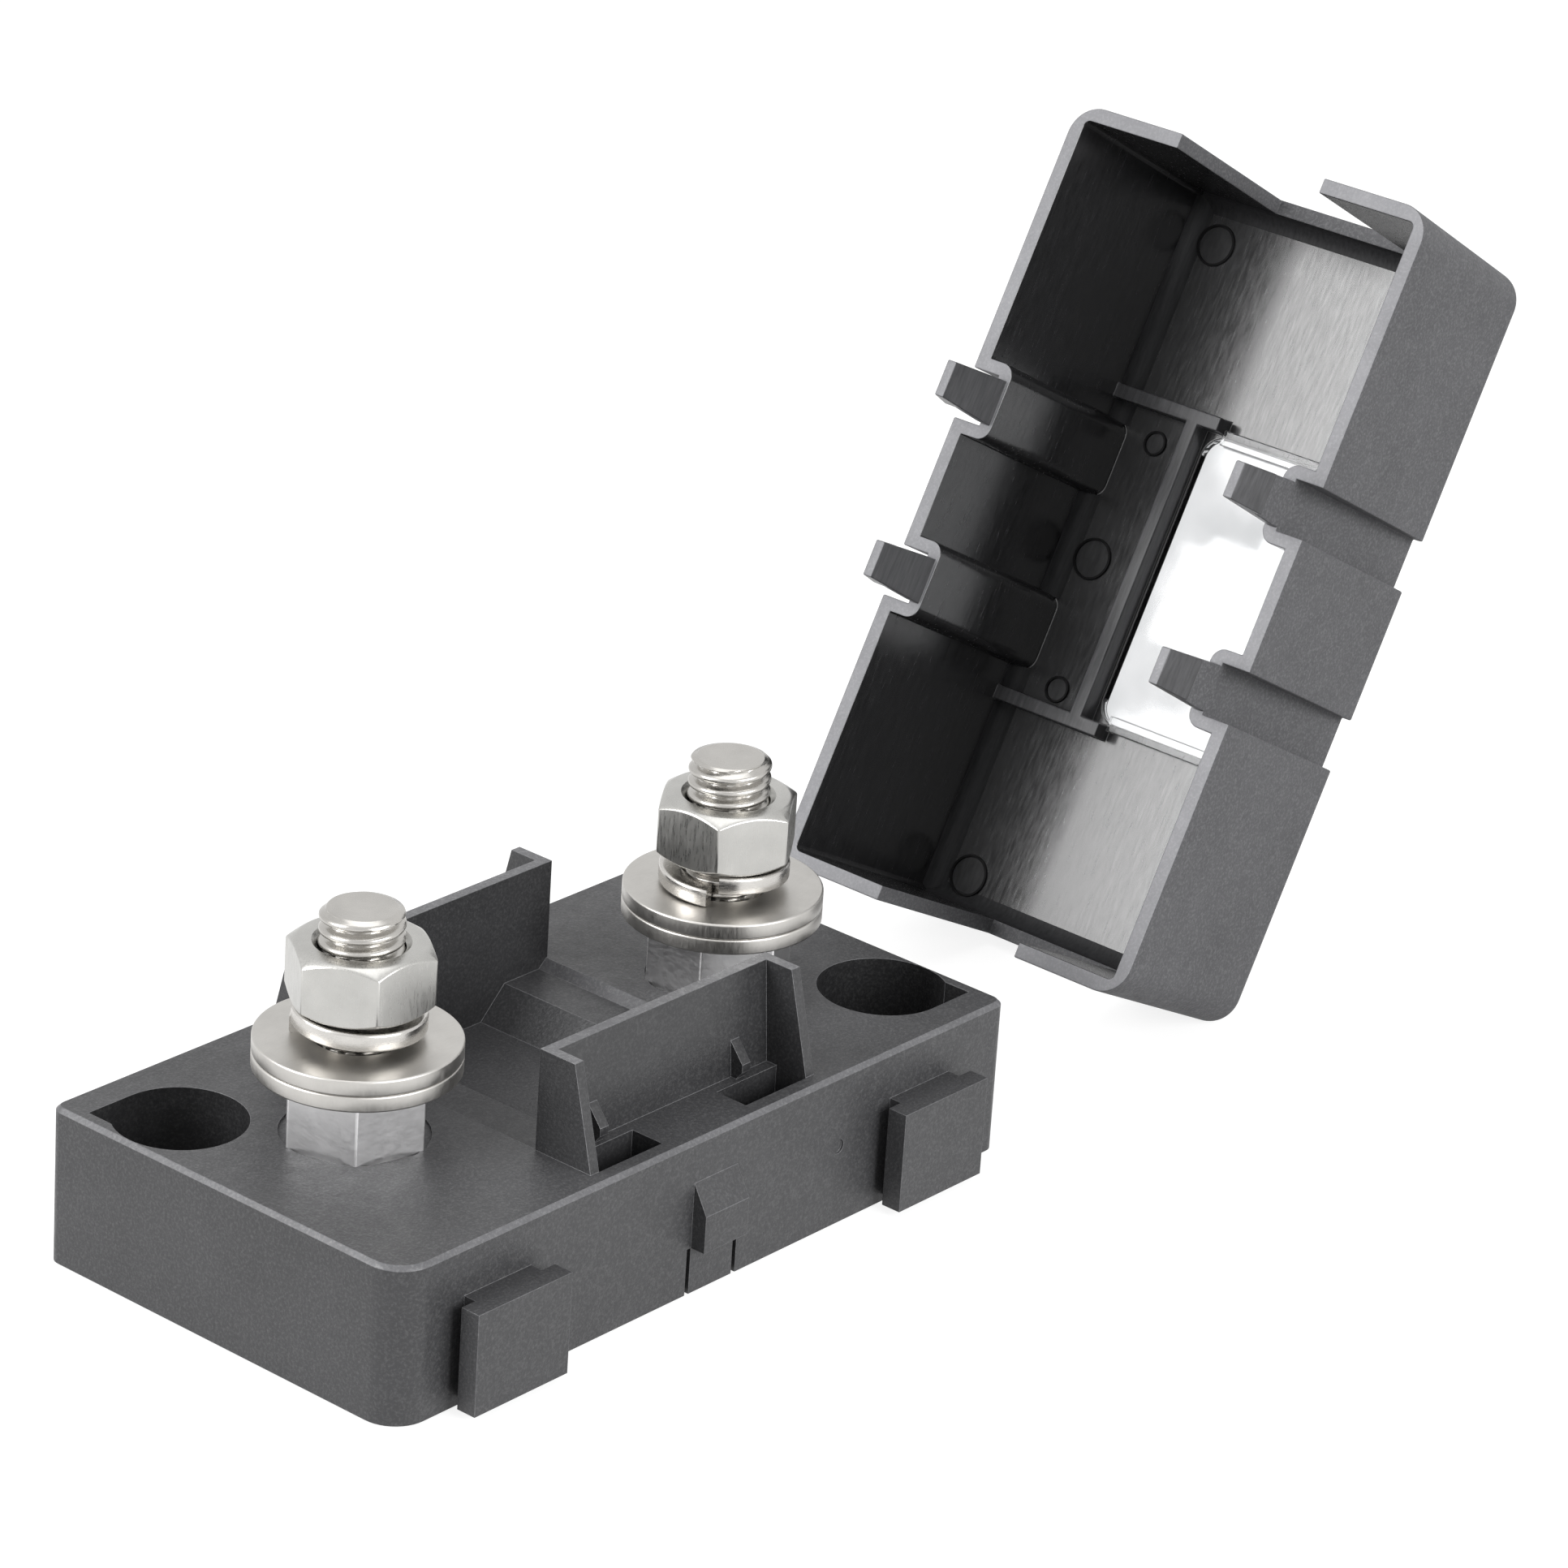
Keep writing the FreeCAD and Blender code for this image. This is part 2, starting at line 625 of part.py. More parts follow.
for word, top, inset, inner in (("inside", plate_now, wall_now, True), ("outside", crown_now, 0, False)):
    shell = draft_walls(
        cover, "ends_" + word, shell, hinge, top, end_now - inset, "x", "end_draft", inner)
    shell = draft_walls(
        cover, "sides_" + word, shell, hinge, top, side_now - inset, "y", "side_draft", inner)
shell = round_edges(
    cover, "cover_corners", shell,
    lambda e: e.BoundBox.ZLength > LONG and abs(e.BoundBox.ZMax - crown_now) < NEAR,
    "cover_corner_round")
shell = round_edges(
    cover, "cover_top_edge", shell,
    lambda e: abs(middle(e).z - crown_now) < NEAR, "cover_edge_round")


def inside(edge):
    """Upright edges inside the cover."""
    reach = edge.BoundBox
    return reach.ZLength > LONG and abs(reach.ZMax - plate_now) < NEAR


shell = round_edges(
    cover, "jog_corners", shell,
    lambda e: inside(e) and abs(abs(middle(e).y) - jog_now) < NEAR, "jog_round")
shell = round_edges(
    cover, "hollow_corners", shell,
    lambda e: inside(e) and abs(middle(e).x) > (jog_end_now + end_now) / 2, "hollow_corner_round")

# Grooves down the outside, each with a barbed hook on the end of its floor.
for side in (-1, 1):
    tag = "front" if side < 0 else "rear"
    sign = "-" if side < 0 else ""
    for end in (-1, 1):
        hand = "left" if end < 0 else "right"
        cx = "-hook_x" if end < 0 else "hook_x"
        groove = sketch_in(cover, "groove_plan_" + tag + "_" + hand, "XY")
        outline(groove, box_points(
            cx + " - groove_width/2", sign + GROOVE_FLOOR,
            cx + " + groove_width/2", sign + "(base_width/2 + overrun)"))
        groove_length = COVER_DEPTH + " + overrun"
        extrude(cover, "Pocket", "groove_" + tag + "_" + hand, groove, groove_length, back=True)
        hook = sketch_in(cover, "hook_side_" + tag + "_" + hand, "YZ", cx)
        inner = "(base_width/2 - groove_depth - jog_wall + hook_set)"
        outline(hook, [
            (sign + inner, "join_overlap"),
            (sign + inner, "-hook_length"),
            (sign + "(base_width/2 - groove_depth - barb_tip_set)", "-hook_length"),
            (sign + "(base_width/2 - pocket_side_wall - barb_room)", "barb_ramp - hook_length"),
            (sign + GROOVE_FLOOR, "barb_ramp + barb_shoulder - hook_length"),
            (sign + GROOVE_FLOOR, "join_overlap")])
        extrude(cover, "Pad", "hook_" + tag + "_" + hand, hook, "hook_width", both=True)
for end in (-1, 1):
    hand = "left" if end < 0 else "right"
    cx = "-hook_x" if end < 0 else "hook_x"
    for edge in (-1, 1):
        word = "a" if edge < 0 else "b"
        flip = " - " if edge < 0 else " + "
        trim = sketch_in(cover, "hook_trim_" + hand + word, "XZ", "0")
        outline(trim, [
            (cx + flip + "hook_width/2", "-taper_start"),
            (cx + flip + "hook_tip_width/2", "-hook_length"),
            (cx + flip + "hook_tip_width/2", "-(hook_length + overrun)"),
            (cx + flip + "(hook_width/2 + overrun)", "-(hook_length + overrun)"),
            (cx + flip + "(hook_width/2 + overrun)", "-taper_start")])
        extrude(cover, "Pocket", "hook_taper_" + hand + word, trim, "2*base_width", both=True)

# Cable notch through both end walls.
notch = sketch_in(cover, "end_notch_side", "YZ", "0")
outline(notch, box_points(
    "-end_notch_half", "-overrun", "end_notch_half", COVER_DEPTH + " - end_notch_top"))
extrude(cover, "Pocket", "end_notches", notch, "2*base_length", both=True)

# Window opening and the stiffening ribs behind the top plate.
pane_plan = box_points(
    "-window_low_x", "-" + WINDOW_FRONT, "window_high_x", WINDOW_REAR)
opening = sketch_in(cover, "window_opening_plan", "XY", PLATE_INNER)
outline(opening, pane_plan)
shell = extrude(cover, "Pocket", "window_opening", opening, "cover_plate + overrun", back=True)
shell = round_edges(
    cover, "window_opening_corners", shell,
    lambda e: abs(e.BoundBox.ZLength - sheet.get("cover_plate")) < 0.01
    and min(abs(middle(e).x + sheet.get("window_low_x")),
            abs(middle(e).x - sheet.get("window_high_x"))) < 0.01, "window_corner")
for end in (-1, 1):
    hand = "left" if end < 0 else "right"
    cx = "-" + RIB_LOW if end < 0 else RIB_HIGH
    rib = sketch_in(cover, "cross_rib_plan_" + hand, "XY", PLATE_INNER + " - rib_height")
    outline(rib, box_points(
        cx + " - rib_thick/2", "cross_rib_inner_y",
        cx + " + rib_thick/2", "base_width/2 - cover_wall/2 - " + COVER_DEPTH + "*" + SIDE_LEAN))
    extrude(cover, "Pad", "cross_rib_" + hand, rib, "rib_height + cover_plate/2")
rib = sketch_in(cover, "long_rib_plan", "XY", PLATE_INNER + " - rib_height")
outline(rib, box_points(
    "-" + RIB_LOW, WINDOW_REAR + " + rib_gap - rib_thick/2",
    RIB_HIGH, WINDOW_REAR + " + rib_gap + rib_thick/2"))
extrude(cover, "Pad", "long_rib", rib, "rib_height + cover_plate/2")
stand(cover)

# Clear window pane with two retaining lips.
window = body("window")
pane = sketch_in(window, "pane_plan", "XY", PLATE_INNER)
outline(pane, pane_plan)
sheet_part = extrude(window, "Pad", "pane", pane, "cover_plate")
round_edges(
    window, "pane_corners", sheet_part, lambda e: e.BoundBox.ZLength > 0.5, "window_corner")
for end in (-1, 1):
    hand = "left" if end < 0 else "right"
    a = "-(window_low_x + window_lip/2)" if end < 0 else "window_high_x - window_lip/2"
    b = "-(window_low_x - window_lip/2)" if end < 0 else "window_high_x + window_lip/2"
    lip = sketch_in(window, "lip_plan_" + hand, "XY", PLATE_INNER + " - window_lip_thick")
    outline(lip, box_points(
        a, "-" + WINDOW_FRONT + " + window_corner", b, WINDOW_REAR + " - window_corner"))
    extrude(window, "Pad", "lip_" + hand, lip, "window_lip_thick")
stand(window)

# Check and write.
doc.recompute()
trouble = []
for obj in doc.Objects:
    if "Invalid" in obj.State or "Error" in obj.State:
        trouble.append(obj.Name)
    if hasattr(obj, "Shape") and not obj.Shape.isNull() and not obj.Shape.isValid():
        trouble.append(obj.Name + " shape")
if trouble:
    raise RuntimeError("these did not build: " + ", ".join(trouble))
os.makedirs("parts", exist_ok=True)
NODES = ["base", "cover", "window"]
for kind in ("stud", "lower_washer", "upper_washer", "spring_washer", "nut"):
    for tag in ("left", "right"):
        NODES.append(kind + "_" + tag)
for node in NODES:
    found = doc.getObjectsByLabel(node)[0]
    if len(found.Shape.Solids) != 1:
        raise RuntimeError(node + " is not one solid")
    found.Shape.exportStep("parts/" + node + ".step")
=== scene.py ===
# Looks for the bolt-down fuse holder: moulded base, studs with washers and nuts, and the cover beside it.
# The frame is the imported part's, in metres: X along the base, Y across it, Z up.
import math

import bmesh
import bpy
from mathutils import Matrix, Vector


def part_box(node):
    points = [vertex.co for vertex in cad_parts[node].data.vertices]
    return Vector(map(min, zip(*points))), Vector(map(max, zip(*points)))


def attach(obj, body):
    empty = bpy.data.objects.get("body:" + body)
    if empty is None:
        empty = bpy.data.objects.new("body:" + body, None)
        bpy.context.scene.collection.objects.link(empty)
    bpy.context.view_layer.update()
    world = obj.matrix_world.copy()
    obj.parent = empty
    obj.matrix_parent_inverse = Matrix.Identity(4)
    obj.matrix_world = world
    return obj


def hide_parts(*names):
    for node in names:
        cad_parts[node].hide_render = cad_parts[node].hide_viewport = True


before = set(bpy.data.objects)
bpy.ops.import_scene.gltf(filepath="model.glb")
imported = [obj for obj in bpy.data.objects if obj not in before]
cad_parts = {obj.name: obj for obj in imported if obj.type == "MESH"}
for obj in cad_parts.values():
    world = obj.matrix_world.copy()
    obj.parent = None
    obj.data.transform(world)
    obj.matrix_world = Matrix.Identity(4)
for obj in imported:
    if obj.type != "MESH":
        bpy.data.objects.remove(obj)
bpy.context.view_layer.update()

MM = 0.001
BODY = "holder"
SIDES = ("left", "right")
scene = bpy.context.scene

# Steel parts, in millimetres and degrees.
THREAD_RADIUS = 2.4
THREAD_DEPTH = 0.42
THREAD_PITCH = 0.8
THREAD_OVERLAP = 0.2
CREST_SHAPE = 1.6
ROWS_PER_PITCH = 12
TIP_RADIUS = 2.02
TIP_EDGE = 0.12
TIP_SLOPE = 0.9
HEX_ACROSS = 7.55
HEX_ROUND = 0.18
HEX_EDGE = 0.07
EDGE_SHARE = 0.3
FACE_RADIUS = 3.6
FACE_FALL = 34.0
BORE_RADIUS = 2.45
BORE_CHAMFER = 0.3
STUD_TURN = {"left": 45.0, "right": 27.0}
NUT_TURN = {"left": 57.0, "right": 34.4}
WASHER_BORE = 2.6
WASHER_ROUND = 0.13
SPRING_INNER = 2.6
SPRING_OUTER = 3.8
SPRING_HEIGHT = 1.1
SPRING_ROUND = 0.2
SPRING_TURNS = 0.97
SPRING_GAP_TURN = {"left": 135.0, "right": 206.0}

# Base, in millimetres.
DECK = 9.6
DECK_CHAMFER = 0.3
WALL_HALF_LENGTH = 9.3
BAY_HALF_WIDTH = 8.25
POCKET_REACH = 13.3
MOUNT_X = 21.05
MOUNT_Y = 7.5
MOUNT_REACH = 4.8
FOOT_BORE = 0.5
FOOT_RING = 4.3
FOOT_DEPTH = 0.14
FOOT_BOTTOM = 1.0
BASE_SOFT = 0.11

# Cover, in millimetres in its own frame: rim at zero height, plate above it.
# Only COVER_PLACE is in metres, COVER_LEAN is in radians, and END_LEAN and SIDE_LEAN are slopes.
COVER_LEAN = math.radians(118.9)
COVER_PLACE = Vector((47.5, -0.6, 28.5565)) * MM
COVER_WALL = 0.95
COVER_SOFT = 0.09
PANE_SOFT = 0.08
PLATE_INNER = 14.0
END_LEAN = math.tan(math.radians(2.0))
SIDE_LEAN = math.tan(math.radians(4.0))
HALF_LENGTH = 25.2
HALF_WIDTH = 13.5
JOG_INNER = 10.55
RIB_HEIGHT = 1.4
HOOK_X = 5.9
GROOVE_WIDTH = 3.3
JOG_NEAR = 3.5
JOG_FAR = 8.3
WINDOW_REACH = 10.2
PIN_MARKS = ((-20.9, 9.5, 1.4), (-7.8, 8.2, 0.85), (0.4, 9.4, 1.4), (8.9, 8.2, 0.9), (21.9, 9.2, 1.4))
PIN_RIDGE = 0.22
PIN_PROUD = 0.16
PIN_FLOOR = 0.03
PIN_SINK = -0.1
PIN_MIDDLE = 0.1
PLATE_FILLET = 1.0
FILLET_SINK = 0.2

# Skins of the base's and the cover's faces, as places in their lists of materials. The base's edge and
# wall-top skins are lighter as painted highlights, its recess skin is darker as painted shade, and the
# cover's rim skin is lighter as a painted highlight.
BLOCK, PAINTED_EDGE_HIGHLIGHT, PAINTED_TOP_HIGHLIGHT, WALLS, PAINTED_RECESS_SHADE = range(5)
OUTSIDE, PLATE, PAINTED_RIM_HIGHLIGHT, HOOKS, INNER_WALLS = range(5)

# Choosing a face's skin: margins in millimetres, and how squarely a face looks up or down.
CLOSE = 0.05
BAND = 0.1
SQUARELY = 0.9
SLOPING = (0.6, 0.8)
OUTER_SHARE = 0.6

# Camera, light and floor: lens in millimetres, places in metres, angles in degrees.
CAMERA_SENSOR = 36.0
CAMERA_LENS = 147.508
CAMERA_PLACE = (-0.243617, -0.218732, 0.169804)
CAMERA_BEARING = -140.3081
CAMERA_RISE = 23.5789
CAMERA_ROLL = 3.7598
LIGHT_TARGET = (0.02, 0.0, 0.015)
AMBIENT = 0.4
FLOOR_HALF = 3.0
FLOOR_LEVEL = -0.0001
FLOOR_GREY = 0.32
FLOOR_GLOW = 0.84


# Node helpers.
def material(name):
    """New node material with its nodes, links and Principled shader."""
    made = bpy.data.materials.new(name)
    made.use_nodes = True
    nodes = made.node_tree.nodes
    return made, nodes, made.node_tree.links, nodes["Principled BSDF"]


def noise_node(nodes, links, coords, scale, detail, rough):
    made = nodes.new("ShaderNodeTexNoise")
    made.inputs["Scale"].default_value = scale
    made.inputs["Detail"].default_value = detail
    made.inputs["Roughness"].default_value = rough
    links.new(coords, made.inputs["Vector"])
    return made.outputs["Fac"]


def ramp_node(nodes, links, value, stops):
    """Colour ramp fed by a value; stops are (position, grey or colour)."""
    made = nodes.new("ShaderNodeValToRGB")
    bar = made.color_ramp
    while len(bar.elements) < len(stops):
        bar.elements.new(0.5)
    for element, (position, colour) in zip(bar.elements, stops):
        element.position = position
        if isinstance(colour, float):
            colour = (colour, colour, colour)
        element.color = (*colour, 1.0)
    links.new(value, made.inputs["Fac"])
    return made.outputs["Color"]


def add_colours(nodes, links, first, second):
    made = nodes.new("ShaderNodeMix")
    made.data_type = "RGBA"
    made.blend_type = "ADD"
    made.inputs["Factor"].default_value = 1.0
    links.new(first, made.inputs["A"])
    links.new(second, made.inputs["B"])
    return made.outputs["Result"]


def bump_node(nodes, links, height, strength, distance, normal=None):
    made = nodes.new("ShaderNodeBump")
    made.inputs["Strength"].default_value = strength
    made.inputs["Distance"].default_value = distance
    links.new(height, made.inputs["Height"])
    if normal is not None:
        links.new(normal, made.inputs["Normal"])
    return made.outputs["Normal"]


def stretched(nodes, links, coords, scale, lean=0.0):
    """Coordinates leaned back about Y and then scaled, for lines along one direction."""
    turn = nodes.new("ShaderNodeMapping")
    turn.inputs["Rotation"].default_value = (0.0, -lean, 0.0)
    links.new(coords, turn.inputs["Vector"])
    made = nodes.new("ShaderNodeMapping")
    made.inputs["Scale"].default_value = scale
    links.new(turn.outputs["Vector"], made.inputs["Vector"])
    return made.outputs["Vector"]


# Materials.
def cool(grey):
    """A grey with the nylon's faint blue cast."""
    return (0.985 * grey, 0.985 * grey, 1.04 * grey)


def grained_plastic(name, dark, light, speck, rough, gloss, grain):
    """Black nylon with a spark-eroded grain, pale specks and slow cloudy changes of shade."""
    made, nodes, links, shader = material(name)
    where = nodes.new("ShaderNodeTexCoord").outputs["Object"]
    cloud = noise_node(nodes, links, where, scale=160.0, detail=4.0, rough=0.6)
    tone = ramp_node(nodes, links, cloud, [(0.3, cool(dark)), (0.72, cool(light))])
    fine = noise_node(nodes, links, where, scale=5600.0, detail=2.0, rough=0.7)
    specks = ramp_node(nodes, links, fine, [(0.46, 0.0), (0.72, speck)])
    links.new(add_colours(nodes, links, tone, specks), shader.inputs["Base Color"])
    sheen = noise_node(nodes, links, where, scale=900.0, detail=4.0, rough=0.6)
    spread = ramp_node(nodes, links, sheen, [(0.3, rough - 0.07), (0.7, rough + 0.07)])
    links.new(spread, shader.inputs["Roughness"])
    shader.inputs["Specular IOR Level"].default_value = gloss
    pits = noise_node(nodes, links, where, scale=3600.0, detail=4.0, rough=0.65)
    bump = bump_node(nodes, links, pits, strength=grain, distance=0.00008)
    links.new(bump, shader.inputs["Normal"])
    return made


def drawn_plastic(name, dark, light, rough, gloss, along):
    """Polished black nylon with faint draw lines, as a mould's core leaves it."""
    made, nodes, links, shader = material(name)
    where = nodes.new("ShaderNodeTexCoord").outputs["Object"]
    lines = stretched(nodes, links, where, along, COVER_LEAN)
    streaks = noise_node(nodes, links, lines, scale=900.0, detail=4.0, rough=0.6)
    tone = ramp_node(nodes, links, streaks, [(0.3, cool(dark)), (0.75, cool(light))])
    links.new(tone, shader.inputs["Base Color"])
    spread = ramp_node(nodes, links, streaks, [(0.3, rough - 0.05), (0.75, rough + 0.08)])
    links.new(spread, shader.inputs["Roughness"])
    shader.inputs["Specular IOR Level"].default_value = gloss
    cloud = noise_node(nodes, links, where, scale=110.0, detail=2.0, rough=0.5)
    waves = bump_node(nodes, links, cloud, strength=0.02, distance=0.0003)
    bump = bump_node(nodes, links, streaks, strength=0.02, distance=0.00003, normal=waves)
    links.new(bump, shader.inputs["Normal"])
    return made


def steel(name, tint, rough, scratch, along):
    """Stainless steel with fine lines, small scratches and slow changes of gloss."""
    made, nodes, links, shader = material(name)
    where = nodes.new("ShaderNodeTexCoord").outputs["Object"]
    cloud = noise_node(nodes, links, where, scale=420.0, detail=5.0, rough=0.6)
    worn = tuple(0.86 * part for part in tint)
    tone = ramp_node(nodes, links, cloud, [(0.3, worn), (0.7, tint)])
    links.new(tone, shader.inputs["Base Color"])
    shader.inputs["Metallic"].default_value = 1.0
    drawn = stretched(nodes, links, where, along)
    lines = noise_node(nodes, links, drawn, scale=1500.0, detail=5.0, rough=0.7)
    spread = ramp_node(nodes, links, lines, [(0.3, rough - 0.08), (0.75, rough + 0.12)])
    links.new(spread, shader.inputs["Roughness"])
    bump = bump_node(nodes, links, lines, strength=scratch, distance=0.00002)
    links.new(bump, shader.inputs["Normal"])
    return made


def clear_plastic(name):
    """Clear pane with faint flow marks."""
    made, nodes, links, shader = material(name)
    where = nodes.new("ShaderNodeTexCoord").outputs["Object"]
    flow = noise_node(nodes, links, where, scale=180.0, detail=3.0, rough=0.5)
    dim, bright = (0.62, 0.63, 0.64), (0.76, 0.765, 0.775)
    tone = ramp_node(nodes, links, flow, [(0.35, dim), (0.65, bright)])
    links.new(tone, shader.inputs["Base Color"])
    spread = ramp_node(nodes, links, flow, [(0.3, 0.05), (0.7, 0.2)])
    links.new(spread, shader.inputs["Roughness"])
    shader.inputs["Transmission Weight"].default_value = 1.0
    shader.inputs["IOR"].default_value = 1.49
    bump = bump_node(nodes, links, flow, strength=0.08, distance=0.0003)
    links.new(bump, shader.inputs["Normal"])
    return made


def base_skins():
    """Materials of the base, in the order of its skins."""
    return [
        grained_plastic("base_nylon", 0.041, 0.053, speck=0.040, rough=0.44, gloss=0.42, grain=0.45),
        # Rounded edges of the base, lighter than its nylon: a painted highlight.
        grained_plastic("base_edge_painted_highlight_nylon", 0.09, 0.14, speck=0.06, rough=0.38, gloss=0.5, grain=0.3),
        # Tops of the walls, lighter than the deck's nylon: a painted highlight.
        grained_plastic("wall_top_painted_highlight_nylon", 0.09, 0.13, speck=0.08, rough=0.45, gloss=0.5, grain=0.3),
        grained_plastic("wall_nylon", 0.029, 0.041, speck=0.03, rough=0.34, gloss=0.45, grain=0.3),
        # Insides of the mounting recesses, darker than the base's nylon: painted shade.
        grained_plastic("recess_painted_shade_nylon", 0.012, 0.022, speck=0.02, rough=0.45, gloss=0.3, grain=0.4)]


def cover_skins():
    """Materials of the cover, in the order of its skins."""
    return [
        grained_plastic("lid_nylon", 0.083, 0.101, speck=0.06, rough=0.62, gloss=0.25, grain=0.5),
        drawn_plastic("lid_inside_nylon", 0.017, 0.034, rough=0.22, gloss=1.0, along=(0.7, 5.0, 5.0)),
        # The rim, light grey though lighter than the lid's nylon would be: a painted highlight.
        grained_plastic("lid_rim_painted_highlight_nylon", 0.20, 0.26, speck=0.05, rough=0.45, gloss=0.4, grain=0.15),
        drawn_plastic("lid_hook_nylon", 0.040, 0.085, rough=0.35, gloss=0.4, along=(0.6, 5.0, 5.0)),
        drawn_plastic("lid_wall_nylon", 0.008, 0.017, rough=0.22, gloss=1.0, along=(0.7, 5.0, 5.0))]


BASE_SKINS = base_skins()
COVER_SKINS = cover_skins()
CORNER_SKIN = drawn_plastic("lid_corner_nylon", 0.020, 0.038, rough=0.50, gloss=0.12, along=(0.7, 5.0, 5.0))
PIN_SKIN = drawn_plastic("pin_ridge_nylon", 0.004, 0.009, rough=0.45, gloss=0.15, along=(1.0, 3.0, 3.0))
DISC_SKIN = drawn_plastic("pin_disc_nylon", 0.018, 0.036, rough=0.34, gloss=0.5, along=(1.0, 4.0, 4.0))
NUT_STEEL = steel("nut_steel", (0.52, 0.515, 0.495), rough=0.30, scratch=0.12, along=(5.0, 5.0, 0.6))
HEX_STEEL = steel("hexagon_steel", (0.66, 0.655, 0.66), rough=0.40, scratch=0.15, along=(1.0, 1.0, 3.0))
WASHER_STEEL = steel("washer_steel", (0.56, 0.545, 0.52), rough=0.36, scratch=0.35, along=(1.0, 8.0, 1.0))
THREAD_STEEL = steel("thread_steel", (0.52, 0.505, 0.48), rough=0.24, scratch=0.1, along=(1.0, 1.0, 10.0))
SPRING_STEEL = steel("spring_steel", (0.62, 0.602, 0.575), rough=0.24, scratch=0.3, along=(1.0, 1.0, 8.0))
CLEAR = clear_plastic("clear_pane")


# Mesh helpers.
def new_piece(name, mesh, skins, body, node=None):
    """Object that rides on a body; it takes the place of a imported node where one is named."""
    for skin in skins:
        mesh.materials.append(skin)
    made = bpy.data.objects.new(name, mesh)
    scene.collection.objects.link(made)
    if node:
        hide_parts(node)
    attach(made, body)
    return made


def bake(made):
    """Turn a piece's modifiers into its mesh, for good."""
    seen = made.evaluated_get(bpy.context.evaluated_depsgraph_get())
    done = bpy.data.meshes.new_from_object(seen)
    made.modifiers.clear()
    made.data = done


def weigh_normals(made, keep_sharp):
    """Let the large faces set the shading normals, so that they look flat up to their edges."""
    weighted = made.modifiers.new("normals", "WEIGHTED_NORMAL")
    weighted.weight = 100
    weighted.keep_sharp = keep_sharp


def ring_faces(first, count, rings, loop):
    """Quads between rings of points; the rings either close on themselves or end in caps."""
    faces = []
    for i in range(rings if loop else rings - 1):
        here = first + i * count
        after = first + (i + 1) % rings * count
        for k in range(count):
            step = (k + 1) % count
            faces.append((here + k, here + step, after + step, after + k))
    if not loop:
        last = first + (rings - 1) * count
        faces.append(tuple(range(first, first + count)))
        faces.append(tuple(range(last, last + count)))
    return faces


def mesh_of_rings(name, shells, sharp):
    """Mesh of closed shells: for each its rings, whether they close on themselves, and its skin."""
    points, faces, skins = [], [], []
    for rings, loop, skin in shells:
        made = ring_faces(len(points), len(rings[0]), len(rings), loop)
        faces += made
        skins += [skin] * len(made)
        points += [Vector(point) * MM for ring in rings for point in ring]
    mesh = bpy.data.meshes.new(name)
    mesh.from_pydata(points, [], faces)
    mesh.polygons.foreach_set("material_index", skins)
    work = bmesh.new()
    work.from_mesh(mesh)
    bmesh.ops.recalc_face_normals(work, faces=work.faces)
    work.to_mesh(mesh)
    work.free()
    for face in mesh.polygons:
        face.use_smooth = True
    mesh.set_sharp_from_angle(angle=math.radians(sharp))
    return mesh


def centre_of(node):
    """Middle of a node across, and its lowest and highest level, in millimetres."""
    low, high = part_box(node)
    return ((low[0] + high[0]) / 2 / MM, (low[1] + high[1]) / 2 / MM, low[2] / MM, high[2] / MM)


def circle_columns(count):
    """Angle and reach of columns evenly round a circle; their reach isn't used."""
    return [(2 * math.pi * k / count, 0.0) for k in range(count)]


def rings_about(x, y, columns, section):
    """Rings about an upright axis; section gives a column's points as (distance from the axis, level)."""
    sections = [section(angle, reach) for angle, reach in columns]
    rings = []
    for row in zip(*sections):
        rings.append([(x + far * math.cos(angle), y + far * math.sin(angle), level)
                      for (angle, reach), (far, level) in zip(columns, row)])
    return rings


def turned(x, y, points, count):
    """Rings of a round shape, with the same section all the way round."""
    return rings_about(x, y, circle_columns(count), lambda angle, reach: points)


# Steel parts.
def hex_columns(turn, corner_steps=(-1.0, -0.5, 0.0, 0.5), side_steps=14):
    """Angle and reach of columns round a hexagon with rounded corners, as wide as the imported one."""
    half = HEX_ACROSS / 2
    sixth = math.radians(60)
    twelfth = math.radians(30)
    centre = (half - HEX_ROUND) / math.cos(twelfth)
    touch = math.atan(HEX_ROUND / 2 / (centre + HEX_ROUND * math.cos(twelfth)))
    columns = []
    for side in range(6):
        corner = math.radians(turn + 60 * side)
        for part in corner_steps:
            off = part * touch
            reach = centre * math.cos(off) + math.sqrt(HEX_ROUND ** 2 - (centre * math.sin(off)) ** 2)
            columns.append((corner + off, reach))
        for k in range(side_steps):
            off = touch + (sixth - 2 * touch) * k / side_steps
            columns.append((corner + off, half / math.cos(off - twelfth)))
    return columns


def fall(reach):
    """How far a hexagon's bevel has dropped at a distance from the axis."""
    return max(0.0, reach - FACE_RADIUS) * math.tan(math.radians(FACE_FALL))


def bevel_section(reach):
    """From a nut's face out to its side, as (distance from the axis, drop below the face)."""
    rim = FACE_RADIUS + HEX_EDGE
    return [
        (FACE_RADIUS - HEX_EDGE, 0.0),
        (min(rim, reach), fall(rim)),
        (reach - HEX_EDGE, fall(reach - HEX_EDGE)),
        (reach - HEX_EDGE * EDGE_SHARE, fall(reach) + HEX_EDGE * EDGE_SHARE),
        (reach, fall(reach) + HEX_EDGE)]


def nut_rings(x, y, low, high, turn):
    """Closed hexagon nut: bore, chamfer, faces, bevels and softened edges."""
    bore = [(BORE_RADIUS, low), (BORE_RADIUS, high - BORE_CHAMFER), (BORE_RADIUS + BORE_CHAMFER, high)]

    def section(angle, reach):
        bevel = bevel_section(reach)
        top = [(far, high - drop) for far, drop in bevel]
        bottom = [(far, low + drop) for far, drop in reversed(bevel)]
        return bore + top + bottom

    return rings_about(x, y, hex_columns(turn), section)


